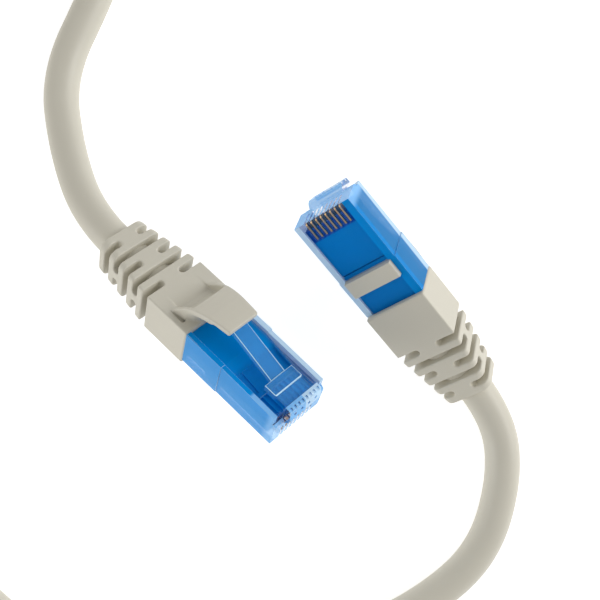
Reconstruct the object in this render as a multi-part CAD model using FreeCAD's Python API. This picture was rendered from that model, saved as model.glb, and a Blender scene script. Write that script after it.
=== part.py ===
"""Ethernet patch cable: two clear 8P8C plugs in slotted boots, joined by one round cable.

All sizes are in millimetres. Each plug is built once, in the plug frame:
  x runs towards the nose, with zero at the nose face, which only the latch's root stands past,
  y runs across the plug's width, with zero in the middle,
  z runs from the contact side (zero) to the latch side.
Both plugs are then set down on the table, which is z = 0 of the row frame.
"""
import FreeCAD, Part
import math
import os

V = FreeCAD.Vector

# ---- The plug's clear housing ----
PLUG_WIDTH = 11.68            # standard width of an 8P8C plug
WALL = 0.84                   # side walls
WALL_TOP_FRONT = 7.1
WALL_TOP_REAR = 7.65
WALL_FRONT_X = -0.7
NOSE_TOP = 5.4
NOSE_BEVEL = 0.5
FLOOR = 0.5
ROOF = 0.45
NOSE_THICK = 1.6
ROOF_LINE = [(-6.0, 5.4), (-13.0, 6.75), (-20.9, 6.95)]   # top of the roof behind the nose
SHOULDER_X = -12.8            # behind it the housing is a little wider
SHOULDER_STEP = 0.14
SHOULDER_DROP = 0.1           # the shoulder stops this far below the walls' top
TAIL_HALF_WIDTH = 5.3         # the tail that the boot's hood grips
TAIL_LENGTH = 2.3
TAIL_BOTTOM = 0.2
TAIL_TOP = 6.85
CLEAR = 0.05                  # play between loose pieces inside the housing
MARGIN = 1.0                  # how far a cutting block runs past what it cuts

# ---- The latch's root, a block that stands proud of the nose ----
ROOT_SIDE = [(-0.6, 5.0), (0.0, 4.4), (0.8, 5.4), (1.0, 6.2), (0.55, 8.2), (0.2, 8.5), (-0.6, 8.5)]
ROOT_HALF_WIDTH = 3.65
ROOT_TEETH = 8                # small notches along the root's top edge
TOOTH_PITCH = 0.88
TOOTH_GAP = 0.42
TOOTH_DEPTH = 0.3
ROOT_DIMPLES = 4              # blind dimples in the root's front face
DIMPLE_PITCH = 1.6
DIMPLE_RADIUS = 0.28
DIMPLE_DEPTH = 0.35
DIMPLE_Z = 7.1

# ---- Contacts and conductors ----
CONTACTS = 8
PITCH = 1.02                  # standard contact pitch
BLADE_THICK = 0.3
BLADE_SLOT = 0.4
BLADE_FRONT_X = -0.2
BLADE_REAR_X = -3.7
BLADE_BOTTOM = 0.3
BLADE_SHOULDER = 1.5
BLADE_TOP = 2.95
BLADE_CORNER = 0.5
TOOTH_TIPS_X = (-2.2, -3.1)   # the two teeth that bite into the conductor
TOOTH_BASE = 0.3
SLOT_TOP = 3.3
CONDUCTOR_RADIUS = 0.43
CONDUCTOR_HOLE = 0.5
CONDUCTOR_Z = 2.6
CONDUCTOR_FRONT_X = -1.8      # the cut ends stop just inside the load bar
FAN_X = -12.4                 # behind it the conductors run together into the jacket
PAIRS = {"orange": (0, 1), "green": (2, 5), "blue": (3, 4), "brown": (6, 7)}
# Where each conductor enters the jacket: width and height off the cable's axis.
JACKET_SPOTS = [(-2.05, -0.4), (-1.35, 0.35), (-0.5, 1.45), (-0.5, -1.3),
                (0.5, -1.3), (0.5, 1.45), (1.35, 0.35), (2.05, -0.4)]

# ---- Load bar and wire guide, the two opaque blue inserts ----
INSERT_HALF_WIDTH = 4.85
LOAD_BAR_REAR_X = -12.0
GUIDE_FRONT_X = -12.3
GUIDE_WALL = 0.7
COMB_REAR_X = -5.4            # end of the open window over the load bar's grooves
COMB_HALF_WIDTH = 4.4
GROOVE_RADIUS = 0.36
POCKET = (-6.4, -4.86, -3.0)  # sunk panel in the bar's top: front, left side, right side
POCKET_DEPTH = 0.3

# ---- Latch ----
LATCH_WIDTH = 6.2             # the T-shaped head
LEVER_WIDTH = 3.1
LEVER_THICK = 1.0
LEVER_SLOPE = 0.333
LATCH_BAND = [(-0.75, 7.4), (-0.75, 7.9), (-3.5, 7.9), (-3.5, 7.2)]
BAND_HALF_WIDTH = 2.9
HEAD_FRONT_X = -3.25
HEAD_REAR_X = -5.7
HEAD_BOTTOM = 6.9
HEAD_TOP = 8.1
LEVER_START_TOP = 7.85
LEVER_END_X = -16.6

# ---- Boot: hood, slotted strain relief, latch cover and lock bar ----
HOOD_FRONT_X = -20.9
HOOD_REAR_X = -30.5
HOOD_HALF_WIDTH = 6.05
HOOD_BOTTOM = -0.97
HOOD_TOP = 7.8
HOOD_CORNER = 0.45
RELIEF_END_HALF_WIDTH = 4.75
RELIEF_END_BOTTOM = -0.65
RELIEF_END_TOP = 7.5
RELIEF_END_CORNER = 2.0
SLOT = 1.3                    # width of each flexing slot
RIB = 1.4                     # wall between two slots
COLLAR = 1.5
SLOTS = 5                     # from the hood: side, top and bottom, side, top and bottom, side
SLOT_WEB = 1.85               # half of the web that the side slots leave
SLOT_DEPTH_SHARE = 0.4        # share of the height that a top or bottom slot cuts
DISH_RADIUS = 20.0
DISH_DEPTH = 0.6
DISH_X = -24.0
COVER_SIDE = [(-14.6, 11.8), (-14.6, 12.6), (-15.0, 12.93), (-16.5, 12.93), (-18.9, 12.6),
              (-21.2, 12.05), (-23.0, 11.2), (-24.2, 10.4), (-25.6, 9.1), (-26.8, 8.65),
              (-26.8, 8.15), (-25.8, 8.15), (-20.9, 10.2), (-17.8, 11.8)]
COVER_PLAN = [(-14.6, 2.75), (-14.9, 3.05), (-17.4, 3.4), (-20.3, 3.85), (-23.0, 4.15),
              (-24.2, 4.4), (-25.1, 4.75), (-26.8, 4.8)]
COVER_REACH = (6.8, 14.8)     # band of z that holds the whole cover
LOCK_BAR = (-16.3, -13.0, 4.8)        # rear, front, half width
LOCK_BAR_TOP = 0.9
LOCK_BAR_EDGE = 0.15

# ---- Cable ----
CABLE_RADIUS = 3.2
CABLE_Z = 3.4                 # the cable's axis in the plug frame
BORE_RADIUS = 3.25
JACKET_FRONT_X = -23.3
COLLAR_REAR_X = HOOD_REAR_X - SLOTS * SLOT - (SLOTS - 1) * RIB - COLLAR

# ---- The two plugs on the table: nose position, yaw, nose-up pitch and roll in degrees ----
PLACES = {
    "a": ((-1.1, -19.08, 22.2), -42.0, 17.0, -34.0),
    "b": ((3.3, 15.42, 22.692), 131.0, 20.0, 146.0),
}

# The cable's route from boot a to boot b, in the row frame. It comes down to the table,
# crosses to the far side in one open loop, and rises again into boot b.
TABLE = CABLE_RADIUS
ARC_SHARE = 0.45              # share of the shorter run that each arc takes up
ROUTE = [
    (-31.8, 11.07, 12.0), (-37.6, 16.27, 9.6), (-42.5, 28.27, 5.7),
    (-44.7, 42.67, 3.7), (-37.4, 58.17, TABLE), (-31.5, 74.17, TABLE),
    (-38.0, 90.67, TABLE), (-55.5, 98.67, TABLE), (-73.5, 94.17, TABLE),
    (-84.5, 78.17, TABLE), (-86.0, 54.67, TABLE), (-82.0, 27.67, TABLE),
    (-75.5, -2.33, TABLE), (-70.5, -31.33, TABLE), (-60.5, -54.83, TABLE),
    (-39.0, -66.33, TABLE), (-14.5, -67.33, TABLE), (6.5, -62.83, TABLE),
    (23.0, -54.83, TABLE), (33.9, -45.23, TABLE), (37.8, -30.93, TABLE),
    (36.3, -20.03, 3.3), (31.3, -13.88, 4.96),
]


def box(x0, x1, y0, y1, z0, z1):
    return Part.makeBox(x1 - x0, y1 - y0, z1 - z0, V(x0, y0, z0))


def side_prism(points, half_width):
    """A side outline of (x, z) points, drawn out to both sides of the middle plane."""
    wire = Part.makePolygon([V(x, -half_width, z) for x, z in points + points[:1]])
    return Part.Face(wire).extrude(V(0, 2 * half_width, 0))


def plan_prism(points, z0, z1):
    """A half plan of (x, half width) points, mirrored and drawn up from z0 to z1."""
    mirrored = [(x, -y) for x, y in reversed(points)]
    outline = points + mirrored
    wire = Part.makePolygon([V(x, y, z0) for x, y in outline + outline[:1]])
    return Part.Face(wire).extrude(V(0, 0, z1 - z0))


def rod(start, end, radius):
    return Part.makeCylinder(radius, (end - start).Length, start, end - start)


def contact_y(i):
    return (i - (CONTACTS - 1) / 2) * PITCH


def housing():
    half = PLUG_WIDTH / 2
    rear_x = HOOD_FRONT_X
    outline = [(0, 0), (0, NOSE_TOP - NOSE_BEVEL), (-NOSE_BEVEL, NOSE_TOP)]
    body = side_prism(outline + ROOF_LINE + [(rear_x, 0)], half)
    wall_side = [(WALL_FRONT_X, 0), (WALL_FRONT_X, WALL_TOP_FRONT), (rear_x, WALL_TOP_REAR), (rear_x, 0)]
    wide = half + SHOULDER_STEP
    shoulder = box(rear_x, SHOULDER_X, -wide, wide, 0, WALL_TOP_REAR - SHOULDER_DROP)
    between = box(rear_x - MARGIN, MARGIN, -half + WALL, half - WALL, -MARGIN, WALL_TOP_REAR + MARGIN)
    walls = side_prism(wall_side, half).fuse(shoulder).cut(between)
    tail = box(rear_x - TAIL_LENGTH, rear_x, -TAIL_HALF_WIDTH, TAIL_HALF_WIDTH, TAIL_BOTTOM, TAIL_TOP)
    shape = body.fuse([walls, tail, latch_root()]).removeSplitter()
    return shape.cut([insert_room(), comb_window(), lock_bar_window()] + blade_slots())


def latch_root():
    """The block that the latch grows from, with notches on its top edge and dimples in front."""
    block = side_prism(ROOT_SIDE, ROOT_HALF_WIDTH)
    top_z = ROOT_SIDE[-1][1]
    front_x = ROOT_SIDE[-2][0]
    notches = []
    for i in range(ROOT_TEETH):
        y = (i - (ROOT_TEETH - 1) / 2) * TOOTH_PITCH
        notches.append(box(front_x - TOOTH_DEPTH, front_x + MARGIN, y - TOOTH_GAP / 2, y + TOOTH_GAP / 2,
                           top_z - TOOTH_DEPTH, top_z + MARGIN))
    dimples = []
    for i in range(ROOT_DIMPLES):
        y = (i - (ROOT_DIMPLES - 1) / 2) * DIMPLE_PITCH
        deepest = front_x + DIMPLE_DEPTH / 2
        dimples.append(rod(V(deepest, y, DIMPLE_Z), V(deepest + MARGIN, y, DIMPLE_Z), DIMPLE_RADIUS))
    return block.cut(notches + dimples)


def insert_room():
    """The cavity that opens at the tail and holds the load bar and the wire guide."""
    top = [(x, z - ROOF) for x, z in ROOF_LINE]
    end_x = HOOD_FRONT_X - TAIL_LENGTH - MARGIN
    front = [(-NOSE_THICK, FLOOR), (-NOSE_THICK, NOSE_TOP - ROOF)]
    outline = front + top[:-1] + [(end_x, top[-2][1]), (end_x, FLOOR)]
    return side_prism(outline, INSERT_HALF_WIDTH + CLEAR)


def comb_window():
    low = NOSE_TOP - 2 * ROOF
    return box(COMB_REAR_X, -NOSE_THICK, -COMB_HALF_WIDTH, COMB_HALF_WIDTH, low, NOSE_TOP + MARGIN)


def lock_bar_window():
    rear, front, half = LOCK_BAR
    return box(rear - CLEAR, front + CLEAR, -half - CLEAR, half + CLEAR, -MARGIN, FLOOR + CLEAR)


def blade_slots():
    rear = BLADE_REAR_X - 2 * CLEAR
    return [
        box(rear, MARGIN, contact_y(i) - BLADE_SLOT / 2, contact_y(i) + BLADE_SLOT / 2, -MARGIN, SLOT_TOP)
        for i in range(CONTACTS)
    ]


def insert_top(x_from, x_to):
    """The inserts' top line under the roof, from one x to another further back."""
    line = [(x, z - ROOF - CLEAR) for x, z in ROOF_LINE]
    level = [(-NOSE_THICK, NOSE_TOP - ROOF - CLEAR)] + line[:-1] + [(JACKET_FRONT_X, line[-2][1])]

    def height(x):
        for (x0, z0), (x1, z1) in zip(level, level[1:]):
            if x1 <= x <= x0:
                return z0 + (z1 - z0) * (x - x0) / (x1 - x0)

    between = [point for point in level if x_to < point[0] < x_from]
    return [(x_from, height(x_from))] + between + [(x_to, height(x_to))]


def load_bar():
    front = -NOSE_THICK - CLEAR
    low = FLOOR + CLEAR
    outline = [(front, low)] + insert_top(front, LOAD_BAR_REAR_X) + [(LOAD_BAR_REAR_X, low)]
    bar = side_prism(outline, INSERT_HALF_WIDTH)
    holes = [
        rod(V(0, contact_y(i), CONDUCTOR_Z), V(LOAD_BAR_REAR_X - MARGIN, contact_y(i), CONDUCTOR_Z),
            CONDUCTOR_HOLE)
        for i in range(CONTACTS)
    ]
    top = NOSE_TOP - ROOF - CLEAR
    grooves = [
        rod(V(0, contact_y(i), top), V(COMB_REAR_X, contact_y(i), top), GROOVE_RADIUS)
        for i in range(CONTACTS)
    ]
    front_x, left, right = POCKET
    above = WALL_TOP_REAR + MARGIN
    outline = insert_top(front_x, LOAD_BAR_REAR_X - MARGIN)
    outline = [(x, z - POCKET_DEPTH) for x, z in outline]
    outline += [(LOAD_BAR_REAR_X - MARGIN, above), (front_x, above)]
    wire = Part.makePolygon([V(x, left, z) for x, z in outline + outline[:1]])
    pocket = Part.Face(wire).extrude(V(0, right - left, 0))
    return bar.cut(holes + grooves + blade_slots() + [pocket])


def wire_guide():
    rear = HOOD_FRONT_X - TAIL_LENGTH
    low = FLOOR + CLEAR
    outline = [(GUIDE_FRONT_X, low)] + insert_top(GUIDE_FRONT_X, rear) + [(rear, low)]
    guide = side_prism(outline, INSERT_HALF_WIDTH)
    inside = INSERT_HALF_WIDTH - GUIDE_WALL
    ceiling = insert_top(GUIDE_FRONT_X, rear)[0][1] - GUIDE_WALL
    room = box(rear - MARGIN, 0, -inside, inside, low + GUIDE_WALL, ceiling)
    bar_rear, bar_front, half = LOCK_BAR
    pocket = box(bar_rear - CLEAR, bar_front + CLEAR, -half - CLEAR, half + CLEAR, -MARGIN,
                 LOCK_BAR_TOP + CLEAR)
    return guide.cut([room, pocket])


def contact(i):
    """One gold blade, with the two teeth that bite into its conductor."""
    r = BLADE_CORNER
    x0, x1, z0 = BLADE_FRONT_X, BLADE_REAR_X, BLADE_BOTTOM
    y = contact_y(i) - BLADE_THICK / 2
    centre = V(x0 - r, y, z0 + r)
    middle = centre + V(r * math.cos(math.radians(45)), 0, -r * math.sin(math.radians(45)))
    corner = Part.Arc(V(x0 - r, y, z0), middle, V(x0, y, z0 + r)).toShape()
    outline = [(x0, z0 + r), (x0, BLADE_SHOULDER)]
    for tooth_x in TOOTH_TIPS_X:
        outline += [(tooth_x + TOOTH_BASE, BLADE_SHOULDER), (tooth_x, BLADE_TOP),
                    (tooth_x - TOOTH_BASE, BLADE_SHOULDER)]
    outline += [(x1, BLADE_SHOULDER), (x1, z0), (x0 - r, z0)]
    sides = [Part.LineSegment(V(ax, y, az), V(bx, y, bz)).toShape()
             for (ax, az), (bx, bz) in zip(outline, outline[1:])]
    return Part.Face(Part.Wire([corner] + sides)).extrude(V(0, BLADE_THICK, 0))


def conductor(i):
    """One insulated wire: straight in the load bar, then in towards the jacket."""
    spot_y, spot_z = JACKET_SPOTS[i]
    tip = V(CONDUCTOR_FRONT_X, contact_y(i), CONDUCTOR_Z)
    bend = V(FAN_X, contact_y(i), CONDUCTOR_Z)
    end = V(JACKET_FRONT_X, spot_y, CABLE_Z + spot_z)
    past = end + (end - bend).normalize() * MARGIN
    shape = rod(tip, bend, CONDUCTOR_RADIUS).fuse([
        Part.makeSphere(CONDUCTOR_RADIUS, bend),
        rod(bend, past, CONDUCTOR_RADIUS),
    ])
    wide = PLUG_WIDTH / 2
    jacket_side = box(JACKET_FRONT_X - 3 * MARGIN, JACKET_FRONT_X, -wide, wide, 0, PLUG_WIDTH)
    return shape.cut([contact(i), jacket_side])


def pair(numbers):
    return Part.Compound([conductor(i) for i in numbers])


def latch():
    """Band that bends at the root, T-shaped head and the lever that rises towards the boot."""
    head = box(HEAD_REAR_X, HEAD_FRONT_X, -LATCH_WIDTH / 2, LATCH_WIDTH / 2, HEAD_BOTTOM, HEAD_TOP)
    band = side_prism(LATCH_BAND, BAND_HALF_WIDTH)
    rise = LEVER_SLOPE * (HEAD_REAR_X - LEVER_END_X)
    top = LEVER_START_TOP
    middle_x = (HEAD_FRONT_X + HEAD_REAR_X) / 2
    lever_side = [(middle_x, top), (HEAD_REAR_X, top), (LEVER_END_X, top + rise),
                  (LEVER_END_X, top + rise - LEVER_THICK), (HEAD_REAR_X, top - LEVER_THICK),
                  (middle_x, top - LEVER_THICK)]
    lever = side_prism(lever_side, LEVER_WIDTH / 2)
    return head.fuse([band, lever]).removeSplitter()


def rounded_section(x, half_width, bottom, top, radius):
    """A closed rounded rectangle across the plug at x."""
    corners = [(half_width, top), (-half_width, top), (-half_width, bottom), (half_width, bottom)]
    inward = [(-1, -1), (1, -1), (1, 1), (-1, 1)]
    edges = []
    for k, ((cy, cz), (sy, sz)) in enumerate(zip(corners, inward)):
        centre_y, centre_z = cy + sy * radius, cz + sz * radius
        start = math.radians(90 * k)
        arc_points = [
            V(x, centre_y + radius * math.cos(a), centre_z + radius * math.sin(a))
            for a in (start, start + math.radians(45), start + math.radians(90))
        ]
        edges.append(Part.Arc(*arc_points).toShape())
    lines = []
    for k, edge in enumerate(edges):
        following = edges[(k + 1) % 4]
        lines.append(Part.LineSegment(edge.lastVertex().Point, following.firstVertex().Point).toShape())
    return Part.Wire([e for two in zip(edges, lines) for e in two])


def hood_section(x):
    return rounded_section(x, HOOD_HALF_WIDTH, HOOD_BOTTOM, HOOD_TOP, HOOD_CORNER)


def boot_shell():
    """Hood and slotted strain relief, moulded in one soft piece."""
    hood = Part.makeLoft([hood_section(HOOD_FRONT_X), hood_section(HOOD_REAR_X)], True, True)
    end = rounded_section(COLLAR_REAR_X, RELIEF_END_HALF_WIDTH, RELIEF_END_BOTTOM, RELIEF_END_TOP,
                          RELIEF_END_CORNER)
    relief = Part.makeLoft([hood_section(HOOD_REAR_X), end], True, True)
    shape = hood.fuse(relief)
    bore = rod(V(JACKET_FRONT_X + CLEAR, 0, CABLE_Z), V(COLLAR_REAR_X - MARGIN, 0, CABLE_Z), BORE_RADIUS)
    tail_room = box(HOOD_FRONT_X - TAIL_LENGTH - CLEAR, HOOD_FRONT_X + MARGIN, -TAIL_HALF_WIDTH - CLEAR,
                    TAIL_HALF_WIDTH + CLEAR, TAIL_BOTTOM - CLEAR, TAIL_TOP + CLEAR)
    dish = Part.makeSphere(DISH_RADIUS, V(DISH_X, 0, HOOD_TOP + DISH_RADIUS - DISH_DEPTH))
    return shape.cut([bore, tail_room, dish] + relief_slots())


def relief_slots():
    """Slots cut in turn from both sides, then from above and below."""
    slots = []
    low = HOOD_BOTTOM - MARGIN
    high = HOOD_TOP + MARGIN
    wide = HOOD_HALF_WIDTH + MARGIN
    depth = SLOT_DEPTH_SHARE * (HOOD_TOP - HOOD_BOTTOM)
    for k in range(SLOTS):
        front = HOOD_REAR_X - k * (SLOT + RIB)
        rear = front - SLOT
        if k % 2 == 0:
            for side in (-1, 1):
                end_y = side * (SLOT_WEB + SLOT / 2)
                y0, y1 = sorted((end_y, side * wide))
                slots.append(box(rear, front, y0, y1, low, high))
                slots.append(rod(V(front - SLOT / 2, end_y, low), V(front - SLOT / 2, end_y, high), SLOT / 2))
        else:
            slots.append(box(rear, front, -wide, wide, HOOD_TOP - depth, high))
            slots.append(box(rear, front, -wide, wide, low, HOOD_BOTTOM + depth))
    return slots


def latch_cover():
    """The snagless tongue over the lever's end. It bends at its root on the hood."""
    return side_prism(COVER_SIDE, HOOD_HALF_WIDTH).common(plan_prism(COVER_PLAN, *COVER_REACH))


def lock_bar():
    rear, front, half = LOCK_BAR
    bar = box(rear, front, -half, half, HOOD_BOTTOM, LOCK_BAR_TOP)
    rim = [e for e in bar.Edges if all(abs(v.Point.z - HOOD_BOTTOM) < 0.01 for v in e.Vertexes)]
    return bar.makeFillet(LOCK_BAR_EDGE, rim)


def jacket_end():
    return rod(V(JACKET_FRONT_X, 0, CABLE_Z), V(COLLAR_REAR_X, 0, CABLE_Z), CABLE_RADIUS)


def plug_pieces():
    """Every piece of one plug and its boot, by the name that follows 'plug_a_' or 'plug_b_'."""
    pieces = {
        "housing": housing(),
        "latch": latch(),
        "load_bar": load_bar(),
        "wire_guide": wire_guide(),
        "jacket_end": jacket_end(),
        "boot_shell": boot_shell(),
        "latch_cover": latch_cover(),
        "lock_bar": lock_bar(),
    }
    for i in range(CONTACTS):
        pieces[f"contact_{i + 1}"] = contact(i)
    for colour, numbers in PAIRS.items():
        pieces[f"pair_{colour}"] = pair(numbers)
    return pieces


def placed(shape, place):
    """The shape moved from the plug frame to its place on the table."""
    nose, yaw, pitch, roll = place
    moved = shape.copy()
    moved.Placement = FreeCAD.Placement(V(*nose), FreeCAD.Rotation(yaw, -pitch, roll))
    return moved


def cable_path(points):
    """Straight runs joined by tangent arcs, each arc as large as its runs allow."""
    points = [V(*p) for p in points]
    edges, radii = [], []
    start = points[0]
    for before, here, after in zip(points, points[1:], points[2:]):
        back = (before - here).normalize()
        ahead = (after - here).normalize()
        half_turn = (math.pi - back.getAngle(ahead)) / 2
        trim = ARC_SHARE * min((before - here).Length, (after - here).Length)
        radius = trim / math.tan(half_turn)
        enter, leave = here + back * trim, here + ahead * trim
        to_centre = (back + ahead).normalize()
        centre = here + to_centre * (radius / math.cos(half_turn))
        edges.append(Part.LineSegment(start, enter).toShape())
        edges.append(Part.Arc(enter, centre - to_centre * radius, leave).toShape())
        radii.append(radius)
        start = leave
    edges.append(Part.LineSegment(start, points[-1]).toShape())
    return Part.Wire(edges), radii


def cable():
    path, radii = cable_path(ROUTE)
    start = V(*ROUTE[0])
    section = Part.Wire(Part.makeCircle(CABLE_RADIUS, start, V(*ROUTE[1]) - start))
    tube = path.makePipeShell([section], True, True)
    expected = math.pi * CABLE_RADIUS ** 2 * path.Length
    print("cable length", round(path.Length, 1), "smallest radius", round(min(radii), 1))
    print("radii", [round(r, 1) for r in radii])
    print("volume", round(tube.Volume, 1), "of", round(expected, 1))
    return tube


def main():
    os.makedirs("parts", exist_ok=True)
    nodes = {"cable_run": cable()}
    pieces = plug_pieces()
    for letter, place in PLACES.items():
        for name, shape in pieces.items():
            nodes[f"plug_{letter}_{name}"] = placed(shape, place)
    for name, shape in nodes.items():
        shape.exportStep(f"parts/{name}.step")
    plugs = Part.Compound([shape for name, shape in nodes.items() if name != "cable_run"])
    bounds = plugs.optimalBoundingBox()
    print("nodes", len(nodes))
    print("plugs in x", round(bounds.XMin, 3), round(bounds.XMax, 3))
    print("plugs in y", round(bounds.YMin, 3), round(bounds.YMax, 3))
    print("plugs in z", round(bounds.ZMin, 3), round(bounds.ZMax, 3))


main()
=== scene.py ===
"""Looks of the ethernet patch cable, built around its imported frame.

Blender works in metres. The boots are shaped in the plug frame, in millimetres:
  x runs towards the nose, y across the plug, z from the contact side to the latch side.
"""
import bmesh
import bpy
import math
import numpy as np
from mathutils import Euler, Matrix, Vector


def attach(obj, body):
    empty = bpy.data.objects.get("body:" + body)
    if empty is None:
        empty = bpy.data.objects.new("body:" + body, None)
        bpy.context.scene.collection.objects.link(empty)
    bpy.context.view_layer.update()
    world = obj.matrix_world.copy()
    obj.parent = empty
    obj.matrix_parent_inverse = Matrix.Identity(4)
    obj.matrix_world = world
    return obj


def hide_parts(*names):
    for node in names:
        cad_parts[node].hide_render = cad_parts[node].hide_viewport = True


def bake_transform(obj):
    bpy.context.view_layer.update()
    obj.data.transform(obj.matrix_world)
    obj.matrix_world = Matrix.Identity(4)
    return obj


MM = 0.001
PLUGS = ("a", "b")

# ---- Where the plugs lie: nose position in millimetres, yaw, nose-up pitch and roll in degrees ----
PLACES = {
    "a": ((-1.1, -19.08, 22.2), -42.0, 17.0, -34.0),
    "b": ((3.3, 15.42, 22.692), 131.0, 20.0, 146.0),
}

# ---- Camera: it looks straight down on the table, with the row's Y up the picture ----
CAMERA_PLACE = (-0.00009, 0.00132, 0.1878)
CAMERA_LENS = 60.0
SENSOR = 36.0

# ---- Light and floor ----
SKY_SIDE = 0.75
SKY_TOP = 0.4
LAMP_TARGET = (0, 0, 0.01)
LAMP_SIZE = 0.3
LAMPS = {"left_box": ((-0.5, -0.2, 0.2), 0.9), "right_box": ((0.5, 0.1, 0.25), 1.5)}      # place, watts
FLOOR_Z = -0.00005
FLOOR_REACH = 3.0

# ---- Cable: its length is measured from collar to collar ----
CABLE_DIAMETER = 0.0064
TABLE = CABLE_DIAMETER / 2
ROUTE = [
    (-0.0318, 0.01107, 0.0120), (-0.0376, 0.01627, 0.0096), (-0.0425, 0.02827, 0.0057),
    (-0.0447, 0.04267, 0.0037), (-0.0374, 0.05817, TABLE), (-0.0315, 0.07417, TABLE),
    (-0.0380, 0.09067, TABLE), (-0.0555, 0.09867, TABLE), (-0.0735, 0.09417, TABLE),
    (-0.0845, 0.07817, TABLE), (-0.0860, 0.05467, TABLE), (-0.0820, 0.02767, TABLE),
    (-0.0755, -0.00233, TABLE), (-0.0705, -0.03133, TABLE), (-0.0605, -0.05483, TABLE),
    (-0.0390, -0.06633, TABLE), (-0.0145, -0.06733, TABLE), (0.0065, -0.06283, TABLE),
    (0.0230, -0.05483, TABLE), (0.0339, -0.04523, TABLE), (0.0378, -0.03093, TABLE),
    (0.0363, -0.02003, 0.0033), (0.0313, -0.01388, 0.00496),
]

# ---- Boot, in the plug frame, in millimetres ----
GRID = 0.15                   # pitch of the grid that the boot's surface is drawn on
HOOD_FRONT = -20.9
HOOD_REAR = -30.5
COLLAR_REAR = -44.1
HOOD_HALF_WIDTH = 6.05
HOOD_BOTTOM = -0.97
HOOD_TOP = 7.8
HOOD_CORNER = 0.2
COLLAR_HALF_WIDTH = 4.75
COLLAR_BOTTOM = -0.65
COLLAR_TOP = 7.5
COLLAR_CORNER = 1.9
END_EDGE = 0.4
SLOT = 1.3
RIB = 1.4
SLOTS = 5
SLOT_WEB = 1.85
SLOT_DEPTH = 3.5
SLOT_EDGE = 0.25
JACKET_RADIUS = 3.15
JACKET_Z = 3.4
TAIL = (-23.25, 5.35, 0.15, 6.9)      # room for the housing's tail: rear, half width, bottom, top

# The latch cover, from its root to its lip. Its neck is its half width where it leaves the hood.
TONGUE_X = [-27.2, -26.0, -25.1, -24.2, -23.0, -21.8, -20.3, -18.9, -17.4, -16.0, -14.6]
TONGUE_TOP = [7.0, 7.95, 8.9, 9.9, 10.95, 11.7, 12.25, 12.6, 12.8, 12.9, 12.9]
TONGUE_HALF_WIDTH = [5.2, 4.85, 4.5, 4.3, 4.1, 4.0, 3.85, 3.7, 3.5, 3.35, 3.2]
NECK_X = [-26.0, -25.0, -24.0, -23.2, -22.0, -20.9, -19.6]
NECK = [4.8, 4.55, 4.35, 4.1, 3.2, 1.9, 1.2]
TONGUE_UNDER_X = [-27.6, -25.0, -20.9, -19.6, -17.8, -14.6]
TONGUE_UNDER = [6.5, 7.0, 7.6, 10.3, 11.7, 11.8]
TONGUE_CROWN = 0.006
TONGUE_SLOPE = 0.8            # brings the profile's field near a true distance
TONGUE_EDGE = 0.15
TONGUE_FILLET = 0.3           # where it grows out of the hood
TONGUE_SIDE = 1.3             # height of the upright side below the top
FLARE = 1.6                   # how late the neck flares out to the full width
SCOOP_X = [-28.6, -27.4, -26.4, -25.4, -24.5, -23.6, -22.8, -22.2]
SCOOP_FLOOR = [7.85, 7.75, 7.55, 7.4, 7.6, 8.4, 9.9, 12.4]
SCOOP_HALF_WIDTH = 3.5
SCOOP_SLOPE = 0.6
SCOOP_EDGE = 0.2
SCOOP_LIP = 0.15
GROOVE_X = [-26.2, -23.0]     # a short groove beside each side of the neck
GROOVE_FLOOR = [7.75, 6.9]
GROOVE_HALF_WIDTH = 4.95
GROOVE_LIP = 0.15

# ---- Clear pieces: places in the plug frame in millimetres, bevel widths in metres ----
HOUSING_HALF_WIDTH = 5.84
HEAD_FRONT = -3.2             # just ahead of the latch's T-shaped head
HOUSING_RIM_Z = 7.0
HOUSING_EDGE = 0.00009
LATCH_EDGE = 0.00016
WALL_SKIN = 0.1               # how far inside the housing's half width a face is still its outside
WALL_DEPTH = 2.0              # on the side of positive y, how far inside it a side face still counts
NOSE_FRONT = -1.5
CONTACTS = 8
# The last slot, for the bevelled edges, holds a painted highlight.
FLAT, WALL, RIM, EDGE_HIGHLIGHT = range(4)      # material slots of a clear piece
WELD = 0.000001
FLAT_ANGLE = math.radians(1)
SHARP_ANGLE = math.radians(20)

# The least share of a unit normal that lies along an axis, for its face to count as looking that way
SQUARE_ON = 0.9
MOSTLY = 0.7
PARTLY = 0.6

# ---- Where one blue turns into the next, in the plug frame in millimetres: from, to ----
BEHIND_ROOF_FRONT = (-5.2, -5.8)
ROOF_Z = (6.0, 6.5)
# The left wall's foot, painted pale as a highlight:
LEFT_WALL_Y = (-4.7, -4.8)
LEFT_WALL_Z = (3.0, 2.5)
RIGHT_WALL_Y = (4.4, 4.5)
RIGHT_HALF_Y = (-0.1, 0.1)
WALL_FOOT_Z = (1.4, 1.0)
WALL_NOSE_X = (-2.4, -1.0)
# The right wall's top, painted pale as a highlight:
WALL_TOP_Z = (5.9, 6.3)
RIM_NOSE_X = (-6.4, -5.8)
# Where the insert's painted shade begins, towards the nose and down among the contacts:
INSERT_FRONT_X = (-4.4, -4.0)
INSERT_LOW_Z = (3.6, 3.2)

# ---- Colours, as linear red, green and blue ----
BEIGE = (0.60, 0.57, 0.48)
FLAT_BLUE = (0.01, 0.22, 0.66)
WALL_BLUE = (0.07, 0.37, 0.83)
WALL_NOSE = (0.24, 0.56, 0.98)
WALL_PANEL = (0.02, 0.23, 0.56)
ROOF_BLUE = (0.0, 0.28, 0.76)
# Painted highlight: the pale blue where the clear walls' edges catch the light.
PALE_HIGHLIGHT = (0.58, 0.80, 1.0)
# Painted highlight: the light blue of the housing's bevelled edges.
EDGE_HIGHLIGHT_BLUE = (0.45, 0.74, 1.0)
LATCH_BLUE = (0.10, 0.38, 0.80)
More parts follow.
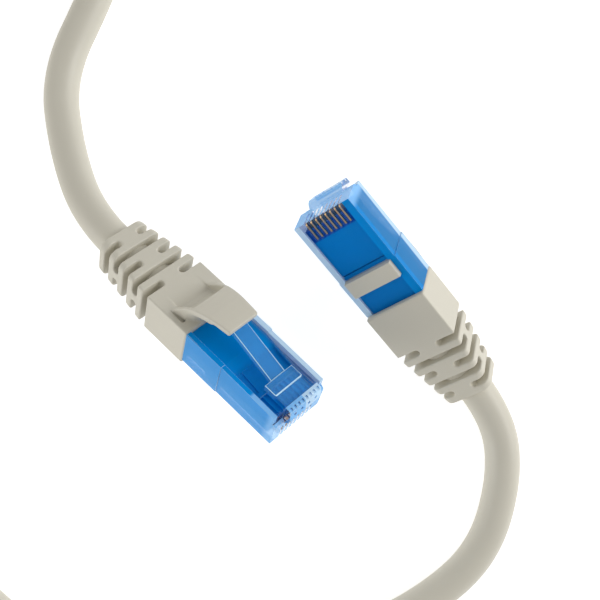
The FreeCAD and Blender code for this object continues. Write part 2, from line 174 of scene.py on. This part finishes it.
# Painted highlight: the light blue of the latch's bevelled edges.
LATCH_HIGHLIGHT_BLUE = (0.62, 0.85, 1.0)
INSERT_BLUE = (0.0, 0.25, 0.69)
# Painted shade: the darker navy in the grooves between the contacts.
INSERT_PAINTED_SHADE = (0.0, 0.012, 0.34)
GOLD = (0.62, 0.40, 0.16)
WIRES = {
    "orange": (0.8, 0.25, 0.04), "green": (0.04, 0.4, 0.12),
    "blue": (0.04, 0.14, 0.6), "brown": (0.22, 0.1, 0.04),
}
PAPER = (0.9, 0.9, 0.9)

# ---- Surface quality ----
FLAT_ALPHA = 0.12
ROOF_ALPHA = 0.8
WALL_ALPHA = 0.8
EDGE_ALPHA = 0.85
LATCH_ALPHA = 0.3
# The latch's painted edge highlight is nearly opaque.
LATCH_HIGHLIGHT_ALPHA = 0.95
FAINT_SHINE = 0.06
GLOSS_SPREAD = 0.15           # how far the roughness wanders from its mean
GRAIN_DEPTH = 0.00003

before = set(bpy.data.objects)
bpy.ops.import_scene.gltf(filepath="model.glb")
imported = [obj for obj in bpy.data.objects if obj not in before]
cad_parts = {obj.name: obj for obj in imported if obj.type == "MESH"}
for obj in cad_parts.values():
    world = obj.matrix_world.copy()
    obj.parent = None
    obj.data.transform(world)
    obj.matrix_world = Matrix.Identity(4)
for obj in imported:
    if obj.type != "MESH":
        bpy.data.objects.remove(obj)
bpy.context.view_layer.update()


# ---------------------------------------------------------------- distance fields

def slab(v, low, high):
    return np.maximum(low - v, v - high)


def rounded(radius, *sides):
    """The overlap of several sides, with its outer edges rounded."""
    sides = [side + radius for side in sides]
    outside = np.sqrt(sum(np.maximum(side, 0) ** 2 for side in sides))
    inside = np.minimum(np.maximum.reduce(sides), 0)
    return outside + inside - radius


def soft_join(a, b, reach):
    """The union of two fields, with a fillet of about that reach where they meet."""
    blend = np.maximum(reach - np.abs(a - b), 0) / reach
    return np.minimum(a, b) - blend ** 2 * reach / 4


def soft_cut(a, b, reach):
    """Field a without field b, with its edges eased by about that reach."""
    return -soft_join(-a, b, reach)


def capsule(u, v, u0, v0, u1, v1, radius):
    """Distance in one plane to a rounded bar from (u0, v0) to (u1, v1)."""
    du, dv = u1 - u0, v1 - v0
    along = np.clip(((u - u0) * du + (v - v0) * dv) / (du * du + dv * dv), 0, 1)
    return np.hypot(u - u0 - along * du, v - v0 - along * dv) - radius


def surface_mesh(field, low, pitch):
    """Points and quads of the surface where the field is zero, by surface nets."""
    inside = field < 0
    size = np.array(field.shape) - 1
    corners = [np.array((i, j, k)) for i in (0, 1) for j in (0, 1) for k in (0, 1)]
    count = sum(
        inside[i:i + size[0], j:j + size[1], k:k + size[2]].astype(np.int8) for i, j, k in corners
    )
    mixed = (count > 0) & (count < len(corners))
    cells = np.argwhere(mixed)
    number = np.full(mixed.shape, -1)
    number[mixed] = np.arange(len(cells))
    total = np.zeros((len(cells), 3))
    hits = np.zeros(len(cells))
    for a in corners:
        for axis in range(3):
            if a[axis]:
                continue
            along = np.eye(3, dtype=int)[axis]
            fa = field[tuple((cells + a).T)]
            fb = field[tuple((cells + a + along).T)]
            crosses = (fa < 0) != (fb < 0)
            share = fa[crosses] / (fa[crosses] - fb[crosses])
            total[crosses] += a + share[:, None] * along
            hits[crosses] += 1
    points = np.array(low) + pitch * (cells + total / hits[:, None])
    quads = []
    for axis in range(3):
        along, u, v = np.roll(np.eye(3, dtype=int), -axis, axis=0)
        first = np.moveaxis(inside, axis, 0)[:-1]
        second = np.moveaxis(inside, axis, 0)[1:]
        edges = np.argwhere(np.moveaxis(first != second, 0, axis))
        edges = edges[((edges * u).sum(1) > 0) & ((edges * v).sum(1) > 0)]
        edges = edges[((edges * u).sum(1) < (size * u).sum()) & ((edges * v).sum(1) < (size * v).sum())]
        ring = np.stack([number[tuple((edges - d).T)] for d in (u + v, v, 0 * u, u)], axis=1)
        leaves = inside[tuple(edges.T)]
        quads.append(np.where(leaves[:, None], ring, ring[:, ::-1]))
    return points, np.concatenate(quads)


def plug_matrix(letter):
    """From the plug frame in millimetres to the row frame in metres."""
    nose, yaw, pitch, roll = PLACES[letter]
    turn = Euler([math.radians(a) for a in (roll, -pitch, yaw)], "XYZ").to_matrix().to_4x4()
    return Matrix.Scale(MM, 4) @ Matrix.Translation(nose) @ turn


def mesh_piece(name, points, faces):
    mesh = bpy.data.meshes.new(name)
    mesh.from_pydata([tuple(p) for p in points], [], [tuple(f) for f in faces])
    mesh.update()
    piece = bpy.data.objects.new(name, mesh)
    bpy.context.scene.collection.objects.link(piece)
    return piece


# ---------------------------------------------------------------- boots

def boot_body(x, y, z):
    """Hood and tapered strain relief, before anything is cut away."""
    share = np.clip((HOOD_REAR - x) / (HOOD_REAR - COLLAR_REAR), 0, 1)
    half = HOOD_HALF_WIDTH + share * (COLLAR_HALF_WIDTH - HOOD_HALF_WIDTH)
    bottom = HOOD_BOTTOM + share * (COLLAR_BOTTOM - HOOD_BOTTOM)
    top = HOOD_TOP + share * (COLLAR_TOP - HOOD_TOP)
    corner = HOOD_CORNER + share * (COLLAR_CORNER - HOOD_CORNER)
    section = rounded(corner, np.abs(y) - half, np.maximum(bottom - z, z - top))
    return rounded(END_EDGE, section, slab(x, COLLAR_REAR, HOOD_FRONT))


def relief_slots(x, y, z):
    """Slots cut in turn from both sides, then from above and below, each with a round end."""
    field = np.full(x.shape, np.inf)
    far = 2 * HOOD_HALF_WIDTH
    end = SLOT / 2
    middle = (HOOD_TOP + HOOD_BOTTOM) / 2
    reach = (HOOD_TOP - HOOD_BOTTOM) / 2 - SLOT_DEPTH + end
    for k in range(SLOTS):
        centre = HOOD_REAR - k * (SLOT + RIB) - SLOT / 2
        if k % 2 == 0:
            cut = capsule(x, np.abs(y), centre, SLOT_WEB + end, centre, far, end)
        else:
            cut = capsule(x, np.abs(z - middle), centre, reach, centre, far, end)
        field = np.minimum(field, cut)
    return field


def tongue(x, y, z):
    """The latch cover, which grows out of the hood on a neck and reaches forward over the lever."""
    top = np.interp(x, TONGUE_X, TONGUE_TOP)
    under = np.interp(x, TONGUE_UNDER_X, TONGUE_UNDER)
    half = np.interp(x, TONGUE_X, TONGUE_HALF_WIDTH)
    neck = np.minimum(np.interp(x, NECK_X, NECK), half)
    rise = np.clip((z - HOOD_TOP) / np.maximum(top - TONGUE_SIDE - HOOD_TOP, TONGUE_EDGE), 0, 1)
    side = neck + (half - neck) * rise ** FLARE
    crown = TONGUE_CROWN * y ** 2
    return rounded(TONGUE_EDGE, (z - top + crown) * TONGUE_SLOPE, (under - z) * TONGUE_SLOPE,
                   (np.abs(y) - side) * TONGUE_SLOPE, slab(x, TONGUE_X[0], TONGUE_X[-1]))


def thumb_scoop(x, y, z):
    """The hollow across the tongue's root, with a steep wall at each end."""
    floor = np.interp(x, SCOOP_X, SCOOP_FLOOR)
    return rounded(SCOOP_EDGE, (floor - z) * SCOOP_SLOPE, np.abs(y) - SCOOP_HALF_WIDTH,
                   slab(x, SCOOP_X[0], SCOOP_X[-1]))


def groove(x, y, z):
    """The short groove that deepens along each side of the neck."""
    floor = np.interp(x, GROOVE_X, GROOVE_FLOOR)
    neck = np.interp(x, NECK_X, NECK)
    return np.maximum.reduce([slab(x, *GROOVE_X), slab(np.abs(y), neck, GROOVE_HALF_WIDTH), floor - z])


def boot_field(x, y, z):
    """The whole boot, with the bore for the jacket and the room for the housing's tail cut out."""
    body = soft_cut(boot_body(x, y, z), groove(x, y, z), GROOVE_LIP)
    field = soft_join(body, tongue(x, y, z), TONGUE_FILLET)
    field = soft_cut(field, thumb_scoop(x, y, z), SCOOP_LIP)
    field = soft_cut(field, relief_slots(x, y, z), SLOT_EDGE)
    bore = np.maximum(np.hypot(y, z - JACKET_Z) - JACKET_RADIUS, x - HOOD_FRONT)
    rear, half, bottom, top = TAIL
    room = np.maximum(np.maximum(rear - x, np.abs(y) - half), np.maximum(bottom - z, z - top))
    return np.maximum(field, -np.minimum(bore, room))


def boot_mesh():
    low = np.array((COLLAR_REAR, -HOOD_HALF_WIDTH, HOOD_BOTTOM)) - 3 * GRID
    high = np.array((TONGUE_X[-1], HOOD_HALF_WIDTH, max(TONGUE_TOP))) + 3 * GRID
    axes = [np.arange(a, b, GRID) for a, b in zip(low, high)]
    x, y, z = np.meshgrid(*axes, indexing="ij")
    return surface_mesh(boot_field(x, y, z), low, GRID)


def boots(surface):
    """Both boots, each in one piece with its latch cover."""
    points, faces = boot_mesh()
    for letter in PLUGS:
        piece = mesh_piece(f"boot_{letter}", points, faces)
        for polygon in piece.data.polygons:
            polygon.use_smooth = True
        piece.data.transform(plug_matrix(letter))
        piece.data.materials.append(surface)
        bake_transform(piece)
        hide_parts(f"plug_{letter}_boot_shell", f"plug_{letter}_latch_cover")


# ---------------------------------------------------------------- cable

def cable(surface):
    """The round cable, one smooth cord from boot a to boot b."""
    curve = bpy.data.curves.new("cable", "CURVE")
    curve.dimensions = "3D"
    spline = curve.splines.new("NURBS")
    spline.points.add(len(ROUTE) - 1)
    for point, place in zip(spline.points, ROUTE):
        point.co = (*place, 1.0)
    spline.order_u = 3
    spline.use_endpoint_u = True
    curve.resolution_u = 24
    curve.bevel_depth = CABLE_DIAMETER / 2
    curve.bevel_resolution = 12
    curve.materials.append(surface)
    piece = bpy.data.objects.new("cable", curve)
    bpy.context.scene.collection.objects.link(piece)
    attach(piece, "cable")
    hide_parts("cable_run")


# ---------------------------------------------------------------- materials

def plastic(name, colour, roughness, variation=0.06, cloud=90.0, grain=2500.0, bump=0.05, **shader_values):
    """Moulded plastic: slow colour drift, uneven gloss and a fine moulded grain."""
    surface = bpy.data.materials.new(name)
    surface.use_nodes = True
    nodes, links = surface.node_tree.nodes, surface.node_tree.links
    shader = nodes["Principled BSDF"]
    for socket, value in shader_values.items():
        shader.inputs[socket.replace("_", " ")].default_value = value
    place = nodes.new("ShaderNodeTexCoord")
    clouds = nodes.new("ShaderNodeTexNoise")
    clouds.inputs["Scale"].default_value = cloud
    clouds.inputs["Detail"].default_value = 3.0
    links.new(place.outputs["Object"], clouds.inputs["Vector"])
    mix = nodes.new("ShaderNodeMix")
    mix.data_type = "RGBA"
    links.new(clouds.outputs["Fac"], mix.inputs["Factor"])
    mix.inputs["A"].default_value = (*(c * (1 - variation) for c in colour), 1)
    mix.inputs["B"].default_value = (*(min(c * (1 + variation), 1) for c in colour), 1)
    links.new(mix.outputs["Result"], shader.inputs["Base Color"])
    gloss = nodes.new("ShaderNodeMapRange")
    gloss.inputs["To Min"].default_value = roughness * (1 - GLOSS_SPREAD)
    gloss.inputs["To Max"].default_value = roughness * (1 + GLOSS_SPREAD)
    links.new(clouds.outputs["Fac"], gloss.inputs["Value"])
    links.new(gloss.outputs["Result"], shader.inputs["Roughness"])
    fine = nodes.new("ShaderNodeTexNoise")
    fine.inputs["Scale"].default_value = grain
    fine.inputs["Detail"].default_value = 2.0
    links.new(place.outputs["Object"], fine.inputs["Vector"])
    relief = nodes.new("ShaderNodeBump")
    relief.inputs["Strength"].default_value = bump
    relief.inputs["Distance"].default_value = GRAIN_DEPTH
    links.new(fine.outputs["Fac"], relief.inputs["Height"])
    links.new(relief.outputs["Normal"], shader.inputs["Normal"])
    return surface


def plug_place(surface, letter):
    """Adds the plug frame's x, y and z, in millimetres, to a material, and returns the three sockets."""
    nodes, links = surface.node_tree.nodes, surface.node_tree.links
    nose, yaw, pitch, roll = PLACES[letter]
    place = nodes.new("ShaderNodeTexCoord")
    turn = nodes.new("ShaderNodeMapping")
    turn.vector_type = "TEXTURE"
    turn.inputs["Location"].default_value = [v * MM for v in nose]
    turn.inputs["Rotation"].default_value = [math.radians(a) for a in (roll, -pitch, yaw)]
    turn.inputs["Scale"].default_value = (MM, MM, MM)
    links.new(place.outputs["Object"], turn.inputs["Vector"])
    parts = nodes.new("ShaderNodeSeparateXYZ")
    links.new(turn.outputs["Vector"], parts.inputs["Vector"])
    return parts.outputs["X"], parts.outputs["Y"], parts.outputs["Z"]


def step(surface, value, low, high):
    """A socket that goes from 0 to 1 while value goes from low to high."""
    nodes, links = surface.node_tree.nodes, surface.node_tree.links
    ramp = nodes.new("ShaderNodeMapRange")
    ramp.interpolation_type = "SMOOTHSTEP"
    ramp.inputs["From Min"].default_value = low
    ramp.inputs["From Max"].default_value = high
    links.new(value, ramp.inputs["Value"])
    return ramp.outputs["Result"]


def times(surface, a, b):
    """A socket that is 1 only where both are."""
    nodes, links = surface.node_tree.nodes, surface.node_tree.links
    product = nodes.new("ShaderNodeMath")
    product.operation = "MULTIPLY"
    links.new(a, product.inputs[0])
    links.new(b, product.inputs[1])
    return product.outputs["Value"]


def either(surface, a, b):
    """A socket that is 1 where either is."""
    nodes, links = surface.node_tree.nodes, surface.node_tree.links
    larger = nodes.new("ShaderNodeMath")
    larger.operation = "MAXIMUM"
    links.new(a, larger.inputs[0])
    links.new(b, larger.inputs[1])
    return larger.outputs["Value"]


def tint(surface, amount, colour):
    """Turns the material towards a colour where amount is 1."""
    nodes, links = surface.node_tree.nodes, surface.node_tree.links
    base = nodes["Principled BSDF"].inputs["Base Color"]
    mix = nodes.new("ShaderNodeMix")
    mix.data_type = "RGBA"
    links.new(base.links[0].from_socket, mix.inputs["A"])
    mix.inputs["B"].default_value = (*colour, 1)
    links.new(amount, mix.inputs["Factor"])
    links.new(mix.outputs["Result"], base)


def thicken(surface, amount, thin, thick):
    """Makes a clear material denser where amount is 1."""
    nodes, links = surface.node_tree.nodes, surface.node_tree.links
    density = nodes.new("ShaderNodeMapRange")
    density.inputs["To Min"].default_value = thin
    density.inputs["To Max"].default_value = thick
    links.new(amount, density.inputs["Value"])
    links.new(density.outputs["Result"], nodes["Principled BSDF"].inputs["Alpha"])


def dress(node, surface):
    """Gives a carried-over CAD node its material."""
    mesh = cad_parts[node].data
    mesh.materials.clear()
    mesh.materials.append(surface)


def clear(name, colour, alpha, roughness=0.08):
    """Clear plastic: thin colour with a faint shine."""
    return plastic(name, colour, roughness, variation=0.04, bump=0.02, Alpha=alpha,
                   Specular_IOR_Level=FAINT_SHINE)


def clear_surfaces(letter):
    """The housing's clear blue plastic: flat faces, side walls, the walls' rims and the bevelled edges. It
    has painted highlights: light blue on the bevelled edges and pale strips on some of the walls' edges.
    """
    flat = clear(f"clear_blue_{letter}", FLAT_BLUE, FLAT_ALPHA)
    x, y, z = plug_place(flat, letter)
    behind = step(flat, x, *BEHIND_ROOF_FRONT)
    roof = times(flat, step(flat, z, *ROOF_Z), behind)
    tint(flat, roof, ROOF_BLUE)
    # Painted highlight: the left wall's foot is painted pale.
    left = times(flat, step(flat, y, *LEFT_WALL_Y), step(flat, z, *LEFT_WALL_Z))
    tint(flat, left, PALE_HIGHLIGHT)
    right = step(flat, y, *RIGHT_WALL_Y)
    tint(flat, right, ROOF_BLUE)
    thicken(flat, either(flat, roof, either(flat, left, right)), FLAT_ALPHA, ROOF_ALPHA)
    wall = clear(f"clear_wall_{letter}", WALL_BLUE, WALL_ALPHA, 0.2)
    x, y, z = plug_place(wall, letter)
    right = step(wall, y, *RIGHT_HALF_Y)
    tint(wall, right, WALL_PANEL)
    tint(wall, times(wall, right, step(wall, z, *WALL_FOOT_Z)), ROOF_BLUE)
    tint(wall, step(wall, x, *WALL_NOSE_X), WALL_NOSE)
    # Painted highlight: the right wall's top is painted pale.
    tint(wall, times(wall, right, step(wall, z, *WALL_TOP_Z)), PALE_HIGHLIGHT)
    rim = clear(f"clear_rim_{letter}", ROOF_BLUE, EDGE_ALPHA)
    x, y, z = plug_place(rim, letter)
    tint(rim, step(rim, x, *RIM_NOSE_X), WALL_NOSE)
    # Painted highlight: the rims on the right side are painted pale.
    tint(rim, step(rim, y, *RIGHT_HALF_Y), PALE_HIGHLIGHT)
    # Painted highlight: the bevelled edges are painted a light blue.
    highlight = clear(f"clear_edge_highlight_{letter}", EDGE_HIGHLIGHT_BLUE, EDGE_ALPHA)
    return flat, wall, rim, highlight


def latch_surfaces():
    """The latch's clear blue plastic. Only its faces and its bevelled edges show, and the edges carry a
    painted highlight.
    """
    flat = clear("latch_blue", LATCH_BLUE, LATCH_ALPHA)
    highlight = clear("latch_edge_highlight", LATCH_HIGHLIGHT_BLUE, LATCH_HIGHLIGHT_ALPHA)
    return flat, flat, flat, highlight


def insert_surface(letter):
    """Deep blue moulding, with painted shade, a darker navy, around the contacts' slots."""
    surface = plastic(f"insert_blue_{letter}", INSERT_BLUE, 0.35, variation=0.05,
                      Specular_IOR_Level=FAINT_SHINE)
    x, y, z = plug_place(surface, letter)
    near_nose = step(surface, x, *INSERT_FRONT_X)
    low = step(surface, z, *INSERT_LOW_Z)
    # Painted shade: the low moulding near the nose, between the contacts, is darkened.
    tint(surface, times(surface, near_nose, low), INSERT_PAINTED_SHADE)
    return surface


def edged_copy(node, name, width, surfaces, wanted=None):
    """A copy of a clear CAD node whose sharp edges, or the wanted ones of them, are bevelled."""
    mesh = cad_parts[node].data.copy()
    mesh.materials.clear()
    for surface in surfaces:
        mesh.materials.append(surface)
    shape = bmesh.new()
    shape.from_mesh(mesh)
    bmesh.ops.remove_doubles(shape, verts=shape.verts, dist=WELD)
    bmesh.ops.dissolve_limit(shape, angle_limit=FLAT_ANGLE, verts=shape.verts, edges=shape.edges)
    for face in shape.faces:
        face.material_index = FLAT
        face.smooth = False
    sharp = [edge for edge in shape.edges if edge.is_manifold and edge.calc_face_angle() > SHARP_ANGLE]
    if wanted is not None:
        sharp = [edge for edge in sharp if wanted(edge)]
    # The bevel's faces take the slot of the painted highlight.
    bmesh.ops.bevel(shape, geom=sharp, offset=width, offset_type="OFFSET", segments=2, profile=0.6,
                    affect="EDGES", clamp_overlap=True, material=EDGE_HIGHLIGHT)
    shape.to_mesh(mesh)
    shape.free()
    piece = bpy.data.objects.new(name, mesh)
    bpy.context.scene.collection.objects.link(piece)
    return piece


def head_and_lever_outline(letter):
    """A test for the edges of the latch's upper faces, behind its band at the nose."""
    back = plug_matrix(letter).inverted()
    up = plug_matrix(letter).to_3x3().normalized() @ Vector((0, 0, 1))

    def wanted(edge):
        behind = all((back @ corner.co).x < HEAD_FRONT for corner in edge.verts)
        return behind and any(face.normal.dot(up) > MOSTLY for face in edge.link_faces)

    return wanted


def colour_walls(piece, letter):
    """Side faces, the nose's front and the walls' top rims of the housing take their own finish."""
    back = plug_matrix(letter).inverted()
    turn = back.to_3x3().normalized()
    for polygon in piece.data.polygons:
        if polygon.material_index != FLAT:
            continue
        place = back @ polygon.center
        normal = turn @ polygon.normal
        outer = abs(place.y) > HOUSING_HALF_WIDTH - WALL_SKIN
        inner = place.y > HOUSING_HALF_WIDTH - WALL_DEPTH
        side = abs(normal.y) > SQUARE_ON and (outer or inner)
        front = normal.x > PARTLY and place.x > NOSE_FRONT
        if side or front:
            polygon.material_index = WALL
        elif normal.z > SQUARE_ON and place.z > HOUSING_RIM_Z:
            polygon.material_index = RIM


def clear_pieces():
    """The housings and the latches, with bevelled edges painted a light blue as a highlight."""
    latch_finish = latch_surfaces()
    for letter in PLUGS:
        surfaces = clear_surfaces(letter)
        plug = f"plug_{letter}_"
        housing = edged_copy(plug + "housing", f"housing_{letter}", HOUSING_EDGE, surfaces)
        colour_walls(housing, letter)
        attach(housing, "cable")
        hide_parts(plug + "housing")
        outline = head_and_lever_outline(letter)
        latch = edged_copy(plug + "latch", f"latch_{letter}", LATCH_EDGE, latch_finish, outline)
        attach(latch, f"latch_{letter}")
        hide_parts(plug + "latch")


def dress_plugs(jacket, boot):
    """Materials of the CAD pieces that are carried over as they are."""
    gold = plastic("gold", GOLD, 0.35, variation=0.1, Metallic=1.0)
    wires = {name: plastic(f"wire_{name}", colour, 0.4) for name, colour in WIRES.items()}
    for letter in PLUGS:
        plug = f"plug_{letter}_"
        insert = insert_surface(letter)
        dress(plug + "load_bar", insert)
        dress(plug + "wire_guide", insert)
        dress(plug + "jacket_end", jacket)
        dress(plug + "lock_bar", boot)
        for number in range(1, CONTACTS + 1):
            dress(plug + f"contact_{number}", gold)
        for name, surface in wires.items():
            dress(plug + f"pair_{name}", surface)


# ---------------------------------------------------------------- stage, light and camera

def soft_box(name, place, watts):
    """A square lamp that shines at the plugs."""
    light = bpy.data.lights.new(name, "AREA")
    light.shape = "SQUARE"
    light.size = LAMP_SIZE
    light.energy = watts
    lamp = bpy.data.objects.new(name, light)
    lamp.location = place
    lamp.rotation_euler = (Vector(LAMP_TARGET) - Vector(place)).to_track_quat("-Z", "Y").to_euler()
    bpy.context.scene.collection.objects.link(lamp)


def stage():
    """A wide sheet of white paper under the cable."""
    corners = [(-1, -1), (1, -1), (1, 1), (-1, 1)]
    points = [(x * FLOOR_REACH, y * FLOOR_REACH, FLOOR_Z) for x, y in corners]
    floor = mesh_piece("floor", points, [(0, 1, 2, 3)])
    paper = plastic("floor", PAPER, 0.8, variation=0.005, bump=0.0,
                    Emission_Color=(1, 1, 1, 1), Emission_Strength=0.5)
    floor.data.materials.append(paper)


def light_scene():
    """A pale studio that is brighter at the sides than overhead, with a soft box at each side."""
    world = bpy.data.worlds.new("studio")
    world.use_nodes = True
    nodes, links = world.node_tree.nodes, world.node_tree.links
    sky = nodes["Background"]
    sky.inputs["Color"].default_value = (1.0, 1.0, 1.0, 1.0)
    direction = nodes.new("ShaderNodeTexCoord")
    height = nodes.new("ShaderNodeSeparateXYZ")
    links.new(direction.outputs["Generated"], height.inputs["Vector"])
    fade = nodes.new("ShaderNodeMapRange")
    fade.inputs["From Min"].default_value = 0.0
    fade.inputs["From Max"].default_value = 1.0
    fade.inputs["To Min"].default_value = SKY_SIDE
    fade.inputs["To Max"].default_value = SKY_TOP
    links.new(height.outputs["Z"], fade.inputs["Value"])
    links.new(fade.outputs["Result"], sky.inputs["Strength"])
    bpy.context.scene.world = world
    for name, (place, watts) in LAMPS.items():
        soft_box(name, place, watts)
    bpy.context.scene.view_settings.view_transform = "Standard"


def camera():
    lens = bpy.data.cameras.new("camera")
    lens.lens = CAMERA_LENS
    lens.sensor_width = SENSOR
    lens.clip_start = 0.005
    lens.clip_end = 20.0
    eye = bpy.data.objects.new("camera", lens)
    eye.location = CAMERA_PLACE
    bpy.context.scene.collection.objects.link(eye)
    bpy.context.scene.camera = eye


camera()
light_scene()
stage()
jacket = plastic("cable_jacket", BEIGE, 0.45, variation=0.03, bump=0.06)
boot = plastic("boot", BEIGE, 0.5, variation=0.03, bump=0.08)
cable(jacket)
boots(boot)
clear_pieces()
dress_plugs(jacket, boot)
